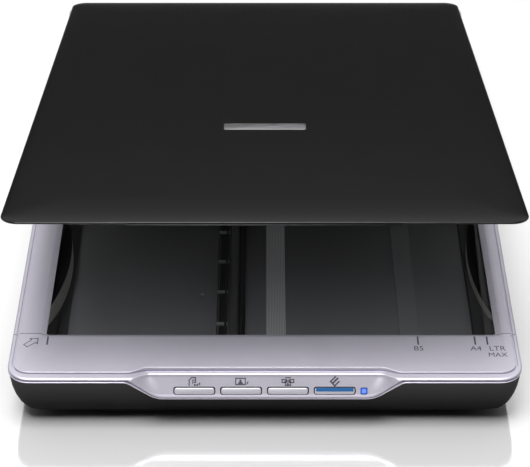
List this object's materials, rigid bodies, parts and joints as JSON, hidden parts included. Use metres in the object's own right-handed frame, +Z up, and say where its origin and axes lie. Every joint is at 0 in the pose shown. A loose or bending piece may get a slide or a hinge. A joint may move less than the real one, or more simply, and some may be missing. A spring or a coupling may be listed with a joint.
{
  "type": "flatbed scanner",
  "caption": "Slim flatbed document scanner with platen glass, belt-driven scan carriage, slanted front button panel and a hinged, lifting lid.",
  "frame": {"origin": "on the ground under the middle of the base's footprint", "axes": "+Z up, +Y from the button panel to the hinges, +X to the right seen from the front"},
  "size_m": [0.249, 0.3644, 0.1153],
  "materials": {
    "case_black": "fine moulded texture, low gloss",
    "lid_black": "satin with a very fine grain",
    "frame_silver": "satin metallic paint on moulded plastic, faint lavender cast",
    "button_silver": "satin metallic paint",
    "start_key": "satin, with a blue band along its upper half",
    "badge": "brushed",
    "platen_glass": "clear float glass with a green edge",
    "white_plastic": "matt white",
    "mat_white": "smooth white film",
    "foam_grey": "open cell foam",
    "foot_rubber": "soft black rubber",
    "lamp_blue": "clear blue lens, lit",
    "board_green": "solder mask",
    "chip_black": "matt epoxy",
    "steel": "bright zinc plate",
    "nylon": "natural nylon",
    "inner_black": "matt black",
    "belt_black": "ribbed rubber",
    "ribbon_white": "flat cable with fine conductors"
  },
  "bodies": {
    "base": {"lower_case": "case_black", "upper_frame": "frame_silver", "front_cover": "frame_silver", "platen_glass": "platen_glass", "calibration_strip": "white_plastic", "foot_front_left": "foot_rubber", "foot_front_right": "foot_rubber", "foot_rear_left": "foot_rubber", "foot_rear_right": "foot_rubber", "case_screw_left": "steel", "case_screw_right": "steel", "hinge_socket_left": "inner_black", "hinge_socket_right": "inner_black", "status_lamp": "lamp_blue", "button_board": "board_green", "button_switch_1": "chip_black", "button_switch_2": "chip_black", "button_switch_3": "chip_black", "button_switch_4": "chip_black", "main_board": "board_green", "controller_chip": "chip_black", "ribbon_connector": "white_plastic", "usb_socket": "steel", "floor_ribbon": "ribbon_white", "guide_rail": "steel", "drive_belt": "belt_black", "idler_bracket": "steel", "belt_spring": "steel", "stepper_motor": "steel"},
    "document_button": {"document_button": "button_silver"},
    "picture_button": {"picture_button": "button_silver"},
    "copy_button": {"copy_button": "button_silver"},
    "start_button": {"start_button": "start_key"},
    "carriage": {"carriage_sled": "inner_black", "belt_clamp": "inner_black", "sensor_housing": "inner_black", "sensor_window": "platen_glass", "lens_array": "chip_black", "light_guide": "white_plastic", "spacer_left": "nylon", "spacer_right": "nylon", "ribbon_loop": "ribbon_white", "lift_spring_left": "steel", "lift_spring_right": "steel"},
    "idler_pulley": {"idler_pulley": "nylon"},
    "drive_gear": {"drive_gear": "nylon"},
    "motor_pinion": {"motor_pinion": "steel"},
    "hinge_arms": {"hinge_arm_left": "inner_black", "hinge_arm_right": "inner_black"},
    "lid": {"lid_shell": "lid_black", "lid_inner_cover": "case_black", "mat_foam": "foam_grey", "mat_sheet": "mat_white", "nameplate": "badge", "hinge_pin_left": "steel", "hinge_pin_right": "steel"}
  },
  "joints": [
    {"name": "document_press", "type": "slide", "parent": "base", "child": "document_button", "axis": [0, 0.8107, -0.5855], "range_m": [0, 0.0007], "stiffness_N_per_m": 800, "springref_m": -0.0005},
    {"name": "picture_press", "type": "slide", "parent": "base", "child": "picture_button", "axis": [0, 0.8107, -0.5855], "range_m": [0, 0.0007], "stiffness_N_per_m": 800, "springref_m": -0.0005},
    {"name": "copy_press", "type": "slide", "parent": "base", "child": "copy_button", "axis": [0, 0.8107, -0.5855], "range_m": [0, 0.0007], "stiffness_N_per_m": 800, "springref_m": -0.0005},
    {"name": "start_press", "type": "slide", "parent": "base", "child": "start_button", "axis": [0, 0.8107, -0.5855], "range_m": [0, 0.0007], "stiffness_N_per_m": 800, "springref_m": -0.0005},
    {"name": "carriage_travel", "type": "slide", "parent": "base", "child": "carriage", "axis": [0, 1, 0], "range_m": [0, 0.306]},
    {"name": "idler_spin", "type": "hinge", "parent": "base", "child": "idler_pulley", "pos_m": [-0.0163, -0.164, 0.0095], "axis": [0, 0, 1], "continuous": true},
    {"name": "gear_spin", "type": "hinge", "parent": "base", "child": "drive_gear", "pos_m": [-0.0163, 0.163, 0.0095], "axis": [0, 0, 1], "continuous": true},
    {"name": "pinion_spin", "type": "hinge", "parent": "base", "child": "motor_pinion", "pos_m": [-0.03115, 0.16091, 0.0095], "axis": [0, 0, 1], "continuous": true},
    {"name": "lid_lift", "type": "slide", "parent": "base", "child": "hinge_arms", "axis": [0, 0, 1], "range_m": [0, 0.018]},
    {"name": "lid_hinge", "type": "hinge", "parent": "hinge_arms", "child": "lid", "pos_m": [0, 0.17, 0.033], "axis": [-1, 0, 0], "range_deg": [-13.1, 64]}
  ],
  "couplings": [
    {"joint": "gear_spin", "follows": "carriage_travel", "rad_per_m": 229.88},
    {"joint": "idler_spin", "follows": "carriage_travel", "rad_per_m": 229.88},
    {"joint": "pinion_spin", "follows": "carriage_travel", "rad_per_m": -919.54}
  ]
}
